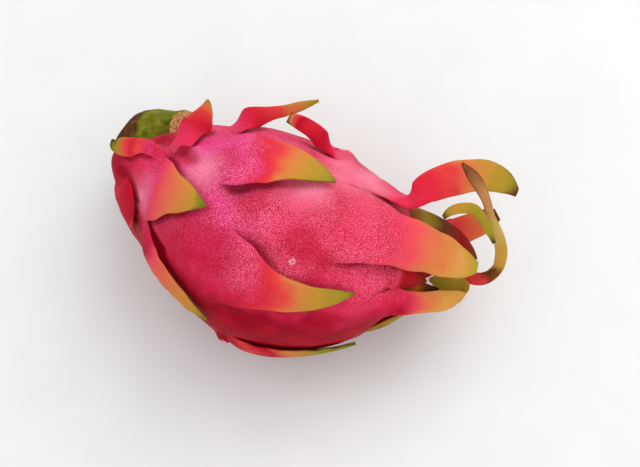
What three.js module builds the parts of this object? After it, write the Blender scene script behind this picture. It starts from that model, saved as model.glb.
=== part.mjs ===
// A dragon fruit (red pitaya) lying on its side: the fruit, the cut piece of cactus stem that it grew on,
// and the leafy scales that cover it, each in its own mesh.
// Millimetres, +Z up. The origin is the middle of the small flat spot that the fruit rests on. -X is the
// stem end, +X the crown, -Y the front.
import * as THREE from "three";

// ---- driving dimensions -----------------------------------------------------------------------------
const STEM_REACH = 63; // from the middle of the fruit to its stem end
const CROWN_REACH = 57; // from the middle of the fruit to its crown end
const HALF_WIDTH = 41;
const HALF_HEIGHT = 40;
const CENTRE_HEIGHT = 38; // less than HALF_HEIGHT, so the underside has a flat spot
const STEM_TAPER = 1.12; // above 1 tapers an end, below 1 makes it blunter
const CROWN_TAPER = 0.92;
const STEM_BOW = 0.0018; // how far each end leans back: bow * x^2
const CROWN_BOW = 0.0032;
const SKIN_GAP = 0.9; // air between the fruit and the underside of a scale
const BLADE_LEAST = 0.8; // thinnest part of a scale
const TABLE_GAP = 0.3; // scales under the fruit are pressed this close to the table

// The piece of cactus stem. Its cut end leans in on the side that face points to, and its other end on the
// side that back points to, by a slant in mm along the piece for each mm across it. Stations along it are
// [share of the length, swell of the radius, how far the side against the fruit is drawn out towards it].
const STUB = {
  middle: [-62.5, 25.7, 30],
  along: [0.93, 0.36, 0.04],
  away: [-0.72, 0.63, -0.3],
  length: 25.5,
  radius: 8.6,
  ribs: 3,
  ribDepth: 0.07,
  face: [0, -0.34, 0.93],
  cutSlant: 0.55,
  back: [-0.3, 0.84, 0.4],
  endSlant: 0.7,
  around: 16,
  stations: [
    [-0.5, 0.62, 0],
    [-0.46, 0.8, 0],
    [-0.3, 0.97, 3],
    [-0.12, 1, 8],
    [0.1, 1, 9],
    [0.28, 1.02, 4],
    [0.44, 1.04, 0],
    [0.47, 0.99, 0],
  ],
};

const BODY_STEPS = { along: 30, around: 44 };
const SCALE_STEPS = { along: 10, around: 10 };

// Swellings and hollows of the skin: a rise in mm along a line from one place to another, places being
// [latitude, longitude], and how far it spreads to each side.
const FOLDS = [
  { name: "stem_hollow", from: [25, -125], to: [29, -118], rise: -5, reach: 9 },
  { name: "crown_hollow", from: [178, 0], to: [179, 0], rise: -7, reach: 11 },
  { name: "lower_left_flat", from: [52, 95], to: [72, 112], rise: -3, reach: 16 },
  { name: "back_shoulder_flat", from: [40, -62], to: [58, -70], rise: -3, reach: 14 },
  { name: "collar", from: [38, 0], to: [30, 34], rise: 2, reach: 7 },
  { name: "collar_lip", from: [20, 12], to: [36, 4], rise: 3.6, reach: 6 },
  { name: "stem_shoulder", from: [20, 44], to: [26, 92], rise: 2.4, reach: 10 },
  { name: "front_shoulder", from: [66, 36], to: [82, 46], rise: 2, reach: 9 },
  { name: "top_shoulder", from: [62, -10], to: [76, -16], rise: 2, reach: 9 },
  { name: "crown_shoulder", from: [104, -4], to: [124, -6], rise: 1.5, reach: 12 },
  { name: "crown_rim", from: [140, 50], to: [150, 60], rise: 2, reach: 8 },
];

// ---- the skin ---------------------------------------------------------------------------------------
// A place on the fruit is a latitude, 0 at the stem end to 180 at the crown, and a longitude, 0 on top,
// 90 in front, 180 underneath and -90 behind.
const rad = THREE.MathUtils.degToRad;
const reach = (x) => (x < 0 ? STEM_REACH : CROWN_REACH);
const taper = (x) => (x < 0 ? STEM_TAPER : CROWN_TAPER);
const bow = (x) => (x < 0 ? STEM_BOW : CROWN_BOW) * x * x;

// The fruit without its folds and its bow, about its own middle.
function eggPoint(latitude, longitude) {
  const along = -Math.cos(latitude);
  const ring = Math.pow(Math.max(Math.sin(latitude), 0), taper(along));
  return new THREE.Vector3(
    along * reach(along),
    -ring * HALF_WIDTH * Math.sin(longitude),
    ring * HALF_HEIGHT * Math.cos(longitude),
  );
}

function eggNormal(p) {
  const ends = reach(p.x);
  return new THREE.Vector3(
    p.x / (ends * ends),
    p.y / (HALF_WIDTH * HALF_WIDTH),
    p.z / (HALF_HEIGHT * HALF_HEIGHT),
  ).normalize();
}

for (const fold of FOLDS) {
  fold.line = new THREE.Line3(
    eggPoint(rad(fold.from[0]), rad(fold.from[1])),
    eggPoint(rad(fold.to[0]), rad(fold.to[1])),
  );
}

function foldRise(p) {
  const nearest = new THREE.Vector3();
  return FOLDS.reduce((sum, fold) => {
    fold.line.closestPointToPoint(p, true, nearest);
    const share = nearest.distanceTo(p) / fold.reach;
    return sum + fold.rise * Math.exp(-share * share);
  }, 0);
}

// The point this high above the skin, with the skin's outward normal there.
function skin(latitude, longitude, height = 0) {
  const point = eggPoint(latitude, longitude);
  const normal = eggNormal(point);
  point.addScaledVector(normal, height + foldRise(point));
  point.y += bow(point.x);
  point.z += CENTRE_HEIGHT;
  return { point, normal };
}

// The place on the skin below a point, and the point's height above it.
function placeBelow(point) {
  const x = point.x;
  const y = (point.y - bow(x)) / HALF_WIDTH;
  const z = (point.z - CENTRE_HEIGHT) / HALF_HEIGHT;
  const ring = Math.pow(Math.hypot(y, z), 1 / taper(x));
  const latitude = Math.atan2(ring, -x / reach(x));
  const longitude = Math.atan2(-y, z);
  const below = skin(latitude, longitude);
  const height = point.clone().sub(below.point).dot(below.normal);
  return { latitude, longitude, height, below };
}

// ---- the paths of the scales ------------------------------------------------------------------------
// A scale follows a path down the middle of its outer face. Each stop on the path is a place on the skin
// with a height above it, or a free point in space, and gives half the width of the scale there.
function on(latitude, longitude, height, halfWidth) {
  const { point, normal } = skin(rad(latitude), rad(longitude), height);
  return { point, facing: normal, halfWidth };
}

function free(x, y, z, halfWidth, facing) {
  return {
    point: new THREE.Vector3(x, y, z),
    facing: new THREE.Vector3(...facing).normalize(),
    halfWidth,
  };
}

// thick is the blade's thickness at its root, and wrap the radius that it curves round across its width.
const SCALES = [
  // round the stem
  {
    name: "scale_stem_front",
    thick: 2.4,
    wrap: 34,
    path: [
      on(44, 26, 1.2, 13),
      on(51, 23, 1.8, 11.5),
      on(59, 20, 3, 8),
      on(67, 18, 3.6, 4.6),
      on(73, 17, 2.6, 0.6),
    ],
  },
  {
    name: "scale_stem_top",
    thick: 2.2,
    wrap: 40,
    path: [
      on(47, -6, 1.6, 3.4),
      on(51, -13, 2.2, 5.4),
      free(-37.3, 16.8, 70.7, 6.2, [0.42, -0.6, 0.68]),
      free(-36.3, 21.0, 73.8, 4, [0.42, -0.6, 0.68]),
      free(-36.1, 23.9, 76.1, 2.2, [0.42, -0.6, 0.68]),
      free(-36.4, 26.1, 78.3, 0.5, [0.42, -0.6, 0.68]),
    ],
  },
  {
    name: "scale_stem_left",
    thick: 2.2,
    wrap: -16,
    path: [
      on(43, 0, 1.2, 2.6),
      free(-52.5, 4.4, 65.4, 3, [-0.1, -0.4, 0.9]),
      free(-57, 3.2, 63.2, 3.6, [-0.1, -0.4, 0.9]),
      free(-61.5, 2.6, 61.2, 3.6, [-0.1, -0.4, 0.9]),
      free(-65, 2.6, 59.6, 2.4, [0, -0.4, 0.9]),
      free(-67.3, 4.2, 59, 0.5, [0, -0.4, 0.9]),
    ],
  },
  {
    name: "scale_stem_low",
    thick: 2.4,
    wrap: 24,
    path: [
      on(24, 46, 1.2, 6),
      on(29, 51, 1.8, 8),
      on(34, 57, 2.2, 8),
      on(38, 63, 2.2, 6),
      on(42, 69, 1.8, 0.8),
    ],
  },
  {
    name: "scale_stem_side",
    thick: 2.2,
    wrap: 26,
    path: [
      on(48, 62, 1.3, 6),
      on(56, 66, 2.4, 5.4),
      on(64, 68, 3, 4.8),
      on(72, 70, 3.2, 4),
      on(79, 73, 3, 2.8),
      on(85, 78, 2, 0.5),
    ],
  },
  {
    name: "scale_stem_back",
    thick: 2.2,
    wrap: 30,
    path: [on(44, -108, 1.3, 10), on(54, -110, 2.2, 9), on(65, -112, 3, 6), on(75, -113, 3, 0.6)],
  },
  {
    name: "scale_stem_under",
    thick: 2.2,
    wrap: 30,
    path: [on(40, 152, 1.3, 10), on(50, 152, 2, 9), on(60, 150, 2.2, 6), on(68, 148, 2, 0.6)],
  },
  {
    name: "scale_stem_under_back",
    thick: 2.2,
    wrap: 30,
    path: [on(43, -154, 1.3, 9.5), on(52, -152, 2.2, 9), on(62, -149, 3, 6), on(71, -147, 3, 0.6)],
  },
  // round the belly
  {
    name: "scale_top",
    thick: 2.4,
    wrap: 36,
    path: [
      on(70, -15, 1, 14),
      on(78, -18, 1.4, 13),
      on(86, -22, 2.2, 11),
      on(94, -23, 3.4, 8),
      on(102, -22, 4, 4.6),
      on(109, -22, 3.4, 0.5),
    ],
  },
  {
    name: "scale_front",
    thick: 2.4,
    wrap: 38,
    path: [
      on(82, 42, 1.2, 16),
      on(89, 42, 1.6, 13.5),
      on(97, 43, 2.6, 10.5),
      on(107, 43.5, 3.6, 7.4),
      on(117, 43, 4, 5.2),
      on(126, 41, 3.6, 3.3),
      on(134, 38, 3, 0.5),
    ],
  },
  {
    name: "scale_low_front",
    thick: 3.4,
    wrap: 30,
    path: [
      on(88, 103, 1, 8),
      on(97, 103, 2.2, 8.5),
      on(108, 103, 2.6, 8),
      on(120, 105, 2.4, 6.6),
      on(131, 108, 2.6, 4.4),
      on(140, 111, 3.2, 0.8),
    ],
  },
  {
    name: "scale_upper_back",
    thick: 2,
    wrap: 14,
    path: [
      on(64, -44, 1.2, 7),
      free(-21.4, 32.2, 64.8, 4.6, [0.1, -0.5, 0.86]),
      free(-16.5, 36.1, 65.4, 2.8, [0.1, -0.6, 0.8]),
      free(-11.9, 39.5, 65.6, 2.2, [0.1, -0.6, 0.8]),
      free(-7.4, 43.2, 66.2, 1.9, [0.1, -0.7, 0.7]),
      free(-1.8, 47.9, 67.4, 0.5, [0, -0.7, 0.7]),
    ],
  },
  {
    name: "scale_broken",
    thick: 2.4,
    wrap: 12,
    path: [
      on(101, -55, 1.6, 4.4),
      free(5.5, 34.9, 65.8, 3.6, [0.2, -0.3, 0.93]),
      free(1.4, 35.2, 69, 3.2, [0.1, -0.4, 0.9]),
      free(-3.2, 34.6, 72.4, 2.8, [0.1, -0.4, 0.9]),
      free(-7.2, 33.6, 75, 2, [0.1, -0.4, 0.9]),
    ],
  },
  {
    name: "scale_back",
    thick: 2.4,
    wrap: 36,
    path: [
      on(84, -108, 1.3, 12),
      on(94, -110, 2, 10),
      on(106, -112, 2.8, 7),
      on(117, -113, 3, 4),
      on(126, -113, 2.4, 0.5),
    ],
  },
  {
    name: "scale_low_back",
    thick: 2.2,
    wrap: 36,
    path: [on(80, -141, 1.3, 10), on(90, -143, 2, 9), on(101, -144, 2.6, 7), on(112, -144, 2.6, 0.5)],
  },
  // round the crown
  {
    name: "crown_scale_front",
    thick: 2.8,
    wrap: 30,
    path: [
      on(113, -4, 1, 18),
      on(122, -5, 1.4, 16),
      on(133, -6, 2.2, 12.6),
      on(143, -6, 4, 10.4),
      free(57.5, 13.5, 60, 9, [0.45, -0.1, 0.9]),
      free(65, 15.5, 55, 7.8, [0.5, -0.15, 0.85]),
      free(71.5, 17.5, 50, 5.8, [0.5, -0.15, 0.85]),
      free(76.5, 19.8, 46, 2.2, [0.5, -0.15, 0.85]),
    ],
  },
  {
    name: "crown_scale_top",
    thick: 2.2,
    wrap: 60,
    path: [
      on(112, -50, 1, 10),
      on(123, -48, 1.4, 8.5),
      on(133, -46, 2.2, 6),
      free(45.5, 30, 63, 5, [0.1, 0, 1]),
      free(49.5, 35.5, 63.5, 5.8, [0, -0.25, 0.95]),
      free(57, 44, 61, 6.4, [0.15, -0.25, 0.95]),
      free(65.5, 52, 54.5, 6, [0.45, -0.2, 0.87]),
      free(73, 56, 47, 4.6, [0.6, -0.1, 0.8]),
      free(78, 56.5, 41, 1.8, [0.7, 0, 0.7]),
    ],
  },
  {
    name: "crown_scale_behind_front",
    thick: 1.8,
    wrap: 24,
    path: [
      on(146, -46, 1.4, 7),
      free(53, 25.5, 49.5, 7.6, [0.4, 0.2, 0.88]),
      free(61, 27, 45, 7.2, [0.4, 0.2, 0.88]),
      free(68, 27, 40.5, 6, [0.45, 0.2, 0.86]),
      free(74, 25, 37, 2.4, [0.5, 0.2, 0.84]),
    ],
  },
  {
    name: "crown_scale_back_short",
    thick: 1.8,
    wrap: 40,
    path: [
      on(142, -86, 1.4, 7),
      free(57.5, 31, 34.5, 6, [0.1, -0.2, 0.97]),
      free(64, 36.5, 33.5, 5.4, [0.1, -0.2, 0.97]),
      free(71, 44, 34.5, 4.4, [0, -0.2, 0.97]),
      free(74, 47.5, 35.5, 2.4, [0, -0.2, 0.97]),
    ],
  },
  {
    name: "crown_scale_curled",
    thick: 1.6,
    wrap: 8,
    path: [
      on(168, -60, 1.6, 3.2),
      free(64, 19, 31.5, 2.8, [0.2, -0.5, 0.85]),
      free(72, 19.3, 33.3, 2.6, [0.1, -0.5, 0.86]),
      free(79, 19.8, 37, 2.4, [-0.1, -0.5, 0.86]),
      free(83.2, 23.2, 43.1, 2.3, [0.3, -0.5, 0.8]),
      free(82.5, 27.9, 50, 2.4, [0.4, -0.4, 0.8]),
      free(79, 31.1, 56, 2.4, [0.4, -0.3, 0.85]),
      free(74.4, 33.6, 61.8, 1.9, [0.3, -0.3, 0.9]),
      free(71.2, 36.9, 65.8, 1.7, [0.2, -0.3, 0.93]),
      free(66.6, 40.1, 69.5, 2.2, [0.1, -0.3, 0.93]),
      free(62.2, 42.3, 71.6, 2.1, [0, -0.3, 0.95]),
      free(57.2, 44.6, 72.9, 0.5, [0, -0.3, 0.95]),
    ],
  },
  {
    name: "crown_scale_thin",
    thick: 1.3,
    wrap: 8,
    path: [
      free(79, 27, 57.1, 0.7, [0.2, -0.3, 0.93]),
      free(75.8, 29, 61.3, 1.6, [0.2, -0.3, 0.93]),
      free(71.3, 31.2, 65.1, 1.9, [0.1, -0.3, 0.93]),
      free(67.5, 32.2, 66.8, 2.1, [0, -0.3, 0.95]),
      free(63.4, 30.6, 67, 2, [0, -0.3, 0.95]),
      free(60.1, 28.2, 65.8, 1.7, [-0.1, -0.2, 0.95]),
      free(58.5, 25.8, 63.6, 0.9, [-0.2, -0.1, 0.95]),
    ],
  },
  {
    name: "crown_scale_folded",
    thick: 2,
    wrap: 30,
    path: [
      on(141, 60, 1.2, 8),
      free(52.2, -8.2, 49, 6.2, [0.35, -0.55, 0.75]),
      free(58.5, -4.4, 46, 4.8, [0.3, -0.5, 0.8]),
      free(63.7, -0.2, 42.6, 4.2, [0.3, -0.5, 0.8]),
      free(69.2, 4.6, 39.2, 4, [0.2, -0.45, 0.87]),
      free(73.6, 8.4, 37.6, 3, [0.6, -0.4, 0.7]),
      free(75.8, 10.8, 35.8, 2.5, [0.95, -0.2, -0.1]),
      free(73.7, 14.8, 34.4, 3, [0.3, 0.3, -0.9]),
      free(70.5, 13.7, 34.6, 3.8, [0.1, 0.35, -0.93]),
      free(67.1, 12.9, 34.8, 3.6, [0.1, 0.35, -0.93]),
      free(63.5, 12.4, 35.3, 2.2, [0.1, 0.35, -0.93]),
      free(60.9, 11.9, 35.5, 0.6, [0.1, 0.35, -0.93]),
    ],
  },
  {
    name: "crown_scale_rolled",
    thick: 1.6,
    wrap: 5,
    path: [
      on(154, 28, 1.2, 4.6),
      free(53.4, 2.6, 48.9, 4.8, [0.3, -0.5, 0.8]),
      free(56, 4.7, 46.6, 3.8, [0.3, -0.5, 0.8]),
      free(58.6, 6.3, 45.7, 2.2, [0.2, -0.5, 0.83]),
      free(61.4, 6.9, 45.6, 0.5, [0.2, -0.5, 0.83]),
    ],
  },
  {
    name: "crown_scale_dry",
    thick: 1.4,
    wrap: 9,
    path: [
      on(167, 66, 1.4, 2.6),
      free(59.6, 5, 40.4, 2.4, [0.2, -0.4, 0.9]),
      free(63, 6.1, 39.6, 2.3, [0.2, -0.4, 0.9]),
      free(66.4, 7.4, 39, 1.6, [0.2, -0.3, 0.93]),
    ],
  },
  {
    name: "crown_scale_under_front",
    thick: 2.2,
    wrap: 26,
    path: [
      on(146, 128, 1.3, 8),
      on(153, 126, 3, 7.6),
      free(59, 8, 18, 6, [0.45, -0.3, -0.85]),
      free(65, 12, 15, 4, [0.3, -0.2, -0.93]),
      free(70.5, 15, 14.5, 0.6, [0.1, -0.2, -0.97]),
    ],
  },
  {
    name: "crown_scale_under",
    thick: 2.2,
    wrap: 26,
    path: [
      on(136, -176, 1.3, 9),
      on(145, -172, 2.4, 8),
      free(56, 25, 12, 6.4, [0.5, 0.1, -0.85]),
      free(64, 29, 10.5, 4, [0.2, 0.1, -0.97]),
      free(70, 32, 12.5, 0.6, [0, 0.1, -1]),
    ],
  },
  {
    name: "crown_scale_back",
    thick: 2.2,
    wrap: 28,
    path: [
      on(130, -132, 1.3, 10),
      on(141, -132, 2.6, 8.5),
      free(54, 36, 19, 6.5, [0.3, 0.8, -0.5]),
      free(61, 42.5, 19.5, 4.4, [0.1, 0.85, -0.5]),
      free(67, 49, 22.5, 0.6, [-0.1, 0.85, -0.5]),
    ],
  },
];

// ---- meshes -----------------------------------------------------------------------------------------
// A closed surface through rings with the same even number of points. Each end ring is closed by rungs
// from one half of it to the other, so that the end of a curved blade stays within the blade.
function ringsGeometry(rings) {
  const count = rings[0].length;
  const last = (rings.length - 1) * count;
  const faces = [];
  for (let i = 0; i < last; i += count) {
    for (let j = 0; j < count; j++) {
      const k = (j + 1) % count;
      faces.push(i + j, i + count + j, i + k, i + k, i + count + j, i + count + k);
    }
  }
  for (let j = 0; j + 1 < count / 2; j++) {
    const [a, b, c, d] = [j, j + 1, count - 2 - j, count - 1 - j];
    faces.push(a, b, c, a, c, d);
    faces.push(last + a, last + c, last + b, last + a, last + d, last + c);
  }
  const geometry = new THREE.BufferGeometry().setFromPoints(rings.flat());
  geometry.setIndex(faces);
  geometry.computeVertexNormals();
  return geometry;
}

function bodyGeometry() {
  const rings = [];
  for (let i = 1; i < BODY_STEPS.along; i++) {
    const ring = [];
    for (let j = 0; j < BODY_STEPS.around; j++) {
      const latitude = (Math.PI * i) / BODY_STEPS.along;
      const longitude = (-2 * Math.PI * j) / BODY_STEPS.around;
      const { point } = skin(latitude, longitude);
      point.z = Math.max(point.z, 0);
      ring.push(point);
    }
    rings.push(ring);
  }
  return ringsGeometry(rings);
}

// Moves a point of a scale out of the skin and off the table.
function clear(point, height) {
  const place = placeBelow(point);
  if (place.height < height) {
    point.copy(skin(place.latitude, place.longitude, height).point);
  }
  point.z = Math.max(point.z, TABLE_GAP);
  return point;
}

// A scale is a flat tube round its path: a lens-shaped section, curved round to the scale's wrap radius.
function scaleGeometry({ path, thick, wrap }) {
  const spine = new THREE.CatmullRomCurve3(path.map((stop) => stop.point), false, "catmullrom", 0.5);
  const facings = new THREE.CatmullRomCurve3(path.map((stop) => stop.facing), false, "catmullrom", 0.5);
  const widths = new THREE.CatmullRomCurve3(
    path.map((stop) => new THREE.Vector3(stop.halfWidth, 0, 0)),
    false,
    "catmullrom",
    0.5,
  );
  const steps = Math.max(SCALE_STEPS.along, 3 * (path.length - 1));
  const rings = [];
  for (let i = 0; i <= steps; i++) {
    const t = i / steps;
    const centre = spine.getPoint(t);
    const tangent = spine.getTangent(t);
    const side = new THREE.Vector3().crossVectors(tangent, facings.getPoint(t)).normalize();
    const out = new THREE.Vector3().crossVectors(side, tangent).normalize();
    const halfWidth = Math.max(widths.getPoint(t).x, 0.4);
    const blade = THREE.MathUtils.lerp(thick, Math.max(BLADE_LEAST, thick / 2), t);
    const ring = [];
    for (let j = 0; j < SCALE_STEPS.around; j++) {
      const angle = (2 * Math.PI * (j + 0.5)) / SCALE_STEPS.around;
      const across = halfWidth * Math.cos(angle);
      const rise = (blade / 2) * (Math.sin(angle) - 1);
      const turn = across / wrap;
      const point = centre
        .clone()
        .addScaledVector(side, wrap * Math.sin(turn))
        .addScaledVector(out, rise - wrap * (1 - Math.cos(turn)));
      const outer = Math.sin(angle) > 0;
      ring.push(clear(point, SKIN_GAP + (outer ? BLADE_LEAST * Math.sin(angle) : 0)));
    }
    rings.push(ring);
  }
  return ringsGeometry(rings);
}

// The piece of cactus stem: a length of one fleshy rib with a cut at each end, lying in the stem hollow.
function stubGeometry() {
  const { middle, away, length, radius, ribs, ribDepth, cutSlant, endSlant } = STUB;
  const along = new THREE.Vector3(...STUB.along).normalize();
  const flat = new THREE.Vector3(...away).cross(along).normalize();
  const out = new THREE.Vector3().crossVectors(along, flat);
  const face = new THREE.Vector3(...STUB.face).normalize();
  const back = new THREE.Vector3(...STUB.back).normalize();
  const rings = STUB.stations.map(([share, swell, neck]) => {
    const ring = [];
    for (let j = 0; j < STUB.around; j++) {
      const angle = (2 * Math.PI * (j + 0.5)) / STUB.around;
      const inner = Math.max(-Math.cos(angle), 0);
      const r = radius * swell * (1 + ribDepth * Math.cos(ribs * angle)) + neck * inner * inner;
      const offset = out.clone().multiplyScalar(r * Math.cos(angle));
      offset.addScaledVector(flat, r * Math.sin(angle));
      const cut = cutSlant * THREE.MathUtils.clamp((share - 0.1) / 0.37, 0, 1) * offset.dot(face);
      const end = endSlant * THREE.MathUtils.clamp((-0.1 - share) / 0.4, 0, 1) * offset.dot(back);
      const point = new THREE.Vector3(...middle).add(offset);
      point.addScaledVector(along, share * length - cut + end);
      ring.push(clear(point, SKIN_GAP));
    }
    return ring;
  });
  return ringsGeometry(rings);
}

// ---- the fruit --------------------------------------------------------------------------------------
const skinPink = new THREE.MeshStandardMaterial({ color: 0xd8255c, roughness: 0.45, metalness: 0 });
const scaleRose = new THREE.MeshStandardMaterial({ color: 0xdf5a4a, roughness: 0.45, metalness: 0 });
const crownOlive = new THREE.MeshStandardMaterial({ color: 0xc7a03f, roughness: 0.45, metalness: 0 });
const stemGreen = new THREE.MeshStandardMaterial({ color: 0x7c8a2e, roughness: 0.6, metalness: 0 });

const fruit = new THREE.Group();
const body = new THREE.Mesh(bodyGeometry(), skinPink);
body.name = "fruit_body";
const stub = new THREE.Mesh(stubGeometry(), stemGreen);
stub.name = "stem_stub";
fruit.add(body, stub);
for (const scale of SCALES) {
  const material = scale.name.startsWith("crown") ? crownOlive : scaleRose;
  const mesh = new THREE.Mesh(scaleGeometry(scale), material);
  mesh.name = scale.name;
  fruit.add(mesh);
}

export default fruit;
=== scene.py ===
"""The looks of a dragon fruit that lies on its side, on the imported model's frame.

The shapes are worked out in millimetres, in the row frame: the origin is the middle of the flat spot that
the fruit rests on, +Z is up, -X the stem end, +X the crown and -Y the front. A place on the skin is a
latitude, 0 at the stem end to 180 at the crown, and a longitude, 0 on top, 90 in front, 180 underneath
and -90 behind, both in degrees.
"""

import math

import bpy
import numpy as np
from mathutils import Matrix, Vector


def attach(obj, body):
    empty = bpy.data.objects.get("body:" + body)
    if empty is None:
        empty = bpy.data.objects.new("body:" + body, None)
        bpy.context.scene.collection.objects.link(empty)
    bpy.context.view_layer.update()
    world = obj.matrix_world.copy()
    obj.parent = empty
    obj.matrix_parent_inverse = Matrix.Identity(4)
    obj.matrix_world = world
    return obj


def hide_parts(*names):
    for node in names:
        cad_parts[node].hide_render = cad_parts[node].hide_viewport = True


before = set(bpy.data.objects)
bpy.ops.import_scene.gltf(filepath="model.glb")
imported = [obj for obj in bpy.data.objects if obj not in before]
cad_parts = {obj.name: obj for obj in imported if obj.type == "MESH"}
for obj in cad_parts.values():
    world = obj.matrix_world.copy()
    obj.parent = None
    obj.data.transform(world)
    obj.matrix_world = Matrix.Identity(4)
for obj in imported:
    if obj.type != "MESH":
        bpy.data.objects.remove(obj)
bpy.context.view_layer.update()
MM = 0.001

# ---- the fruit's own sizes ---------------------------------------------------------------------------
STEM_REACH = 63
CROWN_REACH = 57
HALF_WIDTH = 41
HALF_HEIGHT = 40
CENTRE_HEIGHT = 38
STEM_TAPER = 1.12  # past 1 the end is more pointed than an ellipse, and below 1 blunter
CROWN_TAPER = 0.92
STEM_BOW = 0.0018  # how far the ends lean back, in mm for each square mm from the middle
CROWN_BOW = 0.0032
TABLE_GAP = 0.3  # the lowest that a scale comes to the table

# Swellings and hollows of the skin: from one place to another, the rise and how far it spreads, in mm.
FOLDS = [
    ((25, -125), (29, -118), -5, 9),  # stem hollow
    ((178, 0), (179, 0), -7, 11),  # crown hollow
    ((52, 95), (72, 112), -3, 16),  # the lower left is flatter
    ((40, -62), (58, -70), -3, 14),  # so is the back shoulder
    ((38, 0), (30, 34), 2, 7),  # collar round the stem end
    ((20, 12), (36, 4), 3.6, 6),  # the collar's lip
    ((20, 44), (26, 92), 2.4, 10),  # stem shoulder
    ((66, 36), (82, 46), 2, 9),  # under the front scale's root
    ((62, -10), (76, -16), 2, 9),  # under the top scale's root
    ((104, -4), (124, -6), 1.5, 12),  # under the big crown scale's root
    ((140, 50), (150, 60), 2, 8),  # crown rim
]

# Finer ones, mostly beside the margins of the scales, which the scales themselves don't follow.
CREASES = [
    ((76, 8), (80, 0), -1.6, 4),  # below the top scale
    ((80, 0), (98, -12), -1.5, 4),
    ((87, 18), (100, 30), -1.3, 3.5),  # above the front scale
    ((88, 66), (102, 62), -1.3, 5),  # below the front scale
    ((84, 60), (98, 55), 1.2, 4),
    ((128, 25), (148, 12), -1.6, 4),  # below the big crown scale
    ((42, 51), (60, 38), -1, 3.5),  # below the front stem scale
    ((50, 52), (60, 56), -2, 3),  # beside the narrow side scale
    ((51, -3), (54, -8), 2, 2),  # the small ear behind the front stem scale
    ((54, -8), (60, -10), 2, 2),
    ((57, -4), (60, -4), -2.2, 2.4),
    ((37, -15), (46, -16), -3, 5),  # the notch that shows the stem
    ((20, 30), (25, 36), 2.4, 6),  # the stem end's left side
    ((89, 101), (91, 102), 2.2, 2.4),  # the knob by the low scale
    ((99, -64), (106, -60), 1.6, 3),  # the torn ridge behind the broken scale
    ((106, -60), (132, -46), 1.2, 4),
]

# Spots of the skin: place, radius in mm.
PAINTED_SHEENS = [  # painted sheen: paler pink spots that stand in for the light's sheen
    ((117, -45), 13),  # behind the big crown scale
    ((101, -14), 8),
    ((64, 0), 7),
    ((43, 34), 7),
]
FLUSHES = [  # redder
    ((68, 36), 15),  # the hollow between the front stem scale and the front scale
    ((82, 36), 11),
    ((63, 48), 12),
    ((109, 15), 8),  # round the scar on the belly
    ((119, 20), 5),
    ((86, 5), 7),
    ((57, -5), 4.5),  # inside the ear
]
SCARS = [  # torn
    ((108, 26), 1.7),  # on the belly
    ((100, -66), 3.4),  # beside the broken scale
    ((104, -62), 3),
    ((90, 101), 1.8),  # by the low scale
]


# ---- the skin ----------------------------------------------------------------------------------------
def unit(vectors):
    """The vectors at length 1."""
    return vectors / np.maximum(np.linalg.norm(vectors, axis=-1, keepdims=True), 1e-9)


def smooth(low, high, values):
    """0 below low, 1 above high and a smooth step between."""
    share = np.clip((values - low) / (high - low), 0, 1)
    return share * share * (3 - 2 * share)


def egg(latitude, longitude):
    """The points of the plain egg about its own middle, and their outward normals."""
    along = -np.cos(latitude)
    ends = np.where(along < 0, STEM_REACH, CROWN_REACH)
    ring = np.maximum(np.sin(latitude), 0) ** np.where(along < 0, STEM_TAPER, CROWN_TAPER)
    points = np.stack(
        [along * ends, -ring * HALF_WIDTH * np.sin(longitude), ring * HALF_HEIGHT * np.cos(longitude)], -1
    )
    squares = np.stack([ends**2, ends * 0 + HALF_WIDTH**2, ends * 0 + HALF_HEIGHT**2], -1)
    return points, unit(points / squares)


def bow(x):
    """How far the fruit leans back at x."""
    return np.where(x < 0, STEM_BOW, CROWN_BOW) * x * x


def fold_rise(points, folds):
    """The height of the folds at points of the plain egg."""
    total = np.zeros(points.shape[:-1])
    for start, end, rise, spread in folds:
        a = egg(*np.radians(start))[0]
        b = egg(*np.radians(end))[0]
        share = np.clip((points - a) @ (b - a) / ((b - a) @ (b - a)), 0, 1)
        distance = np.linalg.norm(points - a - share[..., None] * (b - a), axis=-1)
        total += rise * np.exp(-((distance / spread) ** 2))
    return total


def skin(latitude, longitude, height=0.0):
    """The points this high above the skin, and the outward normals there. Angles are in radians."""
    points, normals = egg(latitude, longitude)
    lift = fold_rise(points, FOLDS) + height
    points = points + normals * lift[..., None]
    points[..., 1] += bow(points[..., 0])
    points[..., 2] += CENTRE_HEIGHT
    return points, normals


def above_skin(points):
    """How high points stand above the skin, and the skin's normals below them."""
    x = points[..., 0]
    y = (points[..., 1] - bow(x)) / HALF_WIDTH
    z = (points[..., 2] - CENTRE_HEIGHT) / HALF_HEIGHT
    ring = np.hypot(y, z) ** (1 / np.where(x < 0, STEM_TAPER, CROWN_TAPER))
    latitude = np.arctan2(ring, -x / np.where(x < 0, STEM_REACH, CROWN_REACH))
    below, normals = skin(latitude, np.arctan2(-y, z))
    return ((points - below) * normals).sum(-1), normals


# ---- the paths of the scales -------------------------------------------------------------------------
def on(latitude, longitude, height, half_width):
    """A stop on a scale's path that is this high above the skin."""
    point, normal = skin(np.radians(latitude), np.radians(longitude), height)
    return [*point, *normal, half_width]


def free(x, y, z, half_width, facing):
    """A stop on a scale's path that is anywhere."""
    return [x, y, z, *unit(np.array(facing, float)), half_width]


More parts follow.
